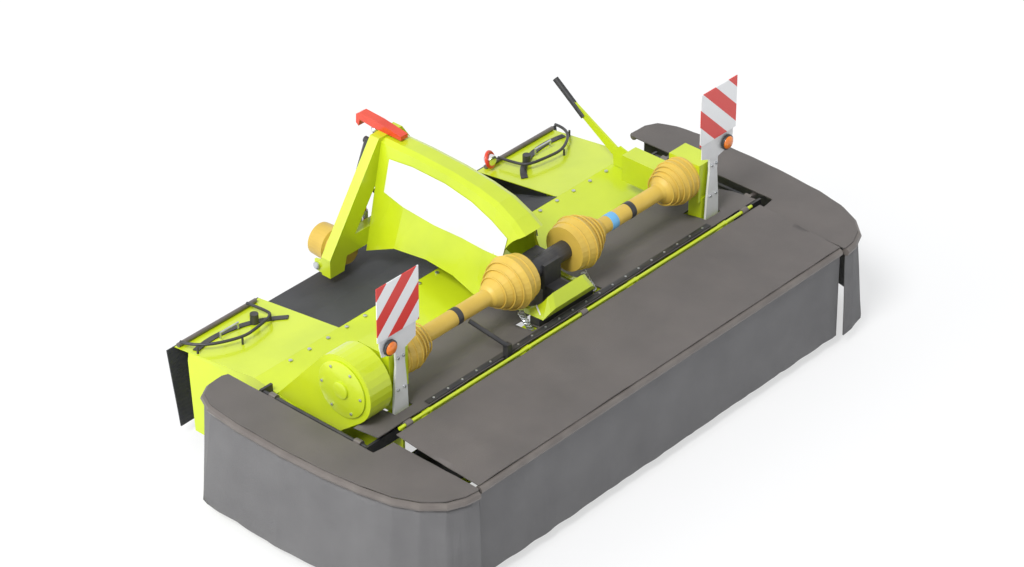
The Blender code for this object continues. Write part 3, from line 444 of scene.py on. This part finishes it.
for side, sideName in bothSides:
    band = bmesh.new()
    lines = []
    for row in arch["rows"]:
        first, last = row[5], row[6]
        line = []
        for share in [first + (last - first) * k / 4 for k in range(5)]:
            line.append(archSpot(row, share, side, arch["proud"]))
        lines.append([band.verts.new(spot) for spot in line])
    for one, two in zip(lines, lines[1:]):
        for k in range(4):
            corners = (one[k], one[k + 1], two[k + 1], two[k])
            middle = sum((c.co for c in corners), Vector()) / 4
            if hypot(middle.y - arch["shaft"][0], middle.z - arch["shaft"][1]) < arch["bore"] + 0.02:
                continue
            band.faces.new(corners if side < 0 else corners[::-1])
    bmesh.ops.delete(band, geom=[v for v in band.verts if not v.link_faces], context="VERTS")
    shape = bpy.data.meshes.new("archBand")
    band.to_mesh(shape)
    band.free()
    piece = bpy.data.objects.new("archBand", shape)
    bpy.context.scene.collection.objects.link(piece)
    deselectAll()
    bpy.context.view_layer.objects.active = piece
    piece.select_set(True)
    wall = piece.modifiers.new("wall", "SOLIDIFY")
    wall.thickness = 0.001
    wall.offset = 0
    bpy.ops.object.modifier_apply(modifier=wall.name)
    finishPiece(piece, "arch_band_" + sideName, "whiteGloss")
print("arch banded")

# drive shafts: ribs on the bells and bands on the tubes
shaft = {"y": -0.23, "z": 0.81, "tube": 0.043,
         "ribs": [(0.20, 0.1275), (0.245, 0.139), (0.285, 0.127), (0.325, 0.106), (0.365, 0.082),
                  (0.895, 0.083), (0.925, 0.095), (0.955, 0.107), (0.985, 0.1155), (1.02, 0.114), (1.058, 0.1115)],
         "rib": 0.0042, "bandAt": 0.64, "bandWide": 0.035}
for side, sideName in bothSides:
    ribs = []
    for along, radius in shaft["ribs"]:
        deselectAll()
        bpy.ops.mesh.primitive_torus_add(location=(side * along, shaft["y"], shaft["z"]), rotation=(0, pi / 2, 0),
                                         major_radius=radius, minor_radius=shaft["rib"],
                                         major_segments=48, minor_segments=8)
        ribs.append(bpy.context.object)
    finishPiece(joinAll(ribs), "guard_ribs_" + sideName, "ochrePlastic")
    band = roundBar(shaft["tube"] + 0.0015, shaft["bandWide"],
                    (side * shaft["bandAt"], shaft["y"], shaft["z"]), "X", 40)
    finishPiece(band, "tube_band_" + sideName, "satinBlack", bevel=0.001)
band = roundBar(shaft["tube"] + 0.0013, 0.05, (0.50, shaft["y"], shaft["z"]), "X", 40)
finishPiece(band, "tube_mark", "bandBlue", bevel=0.001)
print("shafts dressed")

# lamps on the boards
boardLamp = {"x": 1.238, "y": -0.374, "z": 0.999, "radius": 0.035}
for side, sideName in bothSides:
    spot = (side * boardLamp["x"], boardLamp["y"], boardLamp["z"])
    rim = roundBar(boardLamp["radius"] * 1.18, 0.016, spot, "Y", 36)
    finishPiece(rim, "lamp_rim_" + sideName, "satinBlack", bevel=0.003)
    deselectAll()
    bpy.ops.mesh.primitive_uv_sphere_add(segments=32, ring_count=16, radius=boardLamp["radius"],
                                         location=(spot[0], spot[1] - 0.008, spot[2]))
    lens = bpy.context.object
    lens.scale = (1, 0.45, 1)
    finishPiece(lens, "lamp_lens_" + sideName, "amberLens")
    bolts = [roundBar(0.009, 0.008, (side * 1.155 + dx, -0.361, dz), "Y", 6)
             for dx, dz in ((-0.018, 0.90), (0.018, 0.90), (-0.022, 0.72), (0.022, 0.72))]
    finishPiece(joinAll(bolts), "post_bolts_" + sideName, "zincPlate", bevel=0.001)

# rod frames over the rear wings
wing = {"seamY": 0.39, "seamZ": 0.548, "rearY": 0.95, "rearZ": 0.474, "sheet": 0.004}


def wingTop(y):
    share = (y - wing["seamY"]) / (wing["rearY"] - wing["seamY"])
    return wing["seamZ"] + (wing["rearZ"] - wing["seamZ"]) * share + wing["sheet"]


for side, sideName in bothSides:
    corners = [(1.385, 0.91), (1.38, 0.80), (1.19, 0.673), (1.06, 0.69), (0.947, 0.716), (0.93, 0.78), (0.93, 0.91)]
    route = [(side * x, y, wingTop(y) + 0.040) for x, y in corners]
    pipeAlong("wing_rod_" + sideName, route, 0.008, "satinBlack")
    edge = [(side * 0.85, 0.93, wingTop(0.93) + 0.012), (side * 1.385, 0.93, wingTop(0.93) + 0.012)]
    pipeAlong("wing_edge_" + sideName, edge, 0.012, "browngreyTube", smoothRoute=False)
    legs = [roundBar(0.006, 0.036, (side * x, y, wingTop(y) + 0.019), "Z", 12)
            for x, y in ((1.375, 0.80), (1.19, 0.676), (0.945, 0.73))]
    finishPiece(joinAll(legs), "wing_rod_feet_" + sideName, "satinBlack")
    handle = [(side * 1.10, 0.80, wingTop(0.80) + 0.012), (side * 1.10, 0.80, wingTop(0.8) + 0.045),
              (side * 1.22, 0.80, wingTop(0.80) + 0.045), (side * 1.22, 0.80, wingTop(0.80) + 0.012)]
    pipeAlong("wing_handle_" + sideName, handle, 0.006, "zincPlate", smoothRoute=False)

# bolted seam across the hood, and rivets on the strip at the guard's hinge
seam = {"y": 0.366, "z": 0.5527, "start": -1.30, "pitch": 0.13, "bolts": 21, "coverEdge": -1.22}
seamBolts = []
for i in range(seam["bolts"]):
    x = seam["start"] + i * seam["pitch"]
    if x > seam["coverEdge"]:  # none under the belt cover
        seamBolts.append(roundBar(0.011, 0.007, (x, seam["y"], seam["z"]), "Z", 6))
finishPiece(joinAll(seamBolts), "hood_seam_bolts", "zincPlate", bevel=0.0012)

hinge = {"y": -0.4215, "z": 0.6125, "size": (2.10, 0.030, 0.003), "rivets": 21, "pitch": 0.1}
deselectAll()
bpy.ops.mesh.primitive_cube_add(size=1, location=(0, hinge["y"], hinge["z"]))
strip = bpy.context.object
strip.scale = hinge["size"]
finishPiece(strip, "hinge_strip", "satinBlack", bevel=0.0008)
rivets = [roundBar(0.006, 0.004, (-1.0 + i * hinge["pitch"], hinge["y"], hinge["z"] + 0.003), "Z", 12)
          for i in range(hinge["rivets"])]
finishPiece(joinAll(rivets), "hinge_strip_rivets", "zincPlate", bevel=0.0008)
print("lamps, rods and bolts placed")

# raised round face and boss on the belt cover
cover = {"x": -1.38, "y": -0.195, "z": 0.755, "radius": 0.150, "lift": 0.010}  # centre of the drum
face = roundBar(cover["radius"], cover["lift"], (cover["x"] - cover["lift"] / 2, cover["y"], cover["z"]), "X", 64)
finishPiece(face, "belt_cover_face", "limeGloss", bevel=0.006)
boss = roundBar(0.045, 0.018, (cover["x"] - 0.012, cover["y"], cover["z"]), "X", 40)
finishPiece(boss, "belt_cover_boss", "limeGloss", bevel=0.005)
coverBolts = []
for k in range(6):
    angle = 2 * pi * k / 6
    spot = (cover["x"] - 0.0125, cover["y"] + 0.125 * cos(angle), cover["z"] + 0.125 * sin(angle))
    coverBolts.append(roundBar(0.008, 0.006, spot, "X", 6))
finishPiece(joinAll(coverBolts), "belt_cover_bolts", "zincPlate", bevel=0.001)

# lever grip, and the red ring with its cup
pipeAlong("lever_grip", [(1.258, 0.60, 0.752), (1.258, 0.70, 0.830), (1.258, 0.80, 0.905)], 0.017, "hoseBlack")
ring = {"place": (0.86, 0.905, 0.545), "tilt": 70, "turn": 20, "radius": 0.040, "thick": 0.010,
        "cupRadius": 0.031, "cupDeep": 0.05}
deselectAll()
bpy.ops.mesh.primitive_torus_add(location=ring["place"],
                                 rotation=(radians(ring["tilt"]), 0, radians(ring["turn"])),
                                 major_radius=ring["radius"], minor_radius=ring["thick"],
                                 major_segments=48, minor_segments=12)
finishPiece(bpy.context.object, "link_ring", "redGloss")
cup = roundBar(ring["cupRadius"], ring["cupDeep"], ring["place"], "Y", 36)
finishPiece(cup, "link_cup", "chromeRod", bevel=0.008)

# headstock: cylinder rod, couplings, handle and ball
pipeAlong("cylinder_rod", [(-0.197, 0.8873, 0.763), (-0.235, 0.8873, 0.675)], 0.0145, "chromeRod", smoothRoute=False)
pipeAlong("hitch_handle", [(-0.10, 0.885, 0.60), (-0.105, 0.90, 0.80), (-0.10, 0.88, 1.02)], 0.010, "redGloss")
couplings = [roundBar(0.016, 0.045, (x, 0.8903, z), "Z", 16) for x, z in ((-0.10, 0.668), (-0.145, 0.668))]
finishPiece(joinAll(couplings), "hose_couplings", "zincPlate", bevel=0.002)
deselectAll()
bpy.ops.mesh.primitive_uv_sphere_add(segments=32, ring_count=16, radius=0.024, location=(0.0, 0.90, 1.115))
finishPiece(bpy.context.object, "link_ball", "chromeRod")
pin = {"x": 0.41, "y": 0.8853, "z": 0.53, "apart": 0.052, "radius": 0.020, "thick": 0.012}
pins = [roundBar(pin["radius"], pin["thick"], (side * pin["x"] + push, pin["y"], pin["z"]), "X", 24)
        for side in (1, -1) for push in (-pin["apart"], pin["apart"])]
finishPiece(joinAll(pins), "link_pin_heads", "zincPlate", bevel=0.002)
print("small pieces placed")
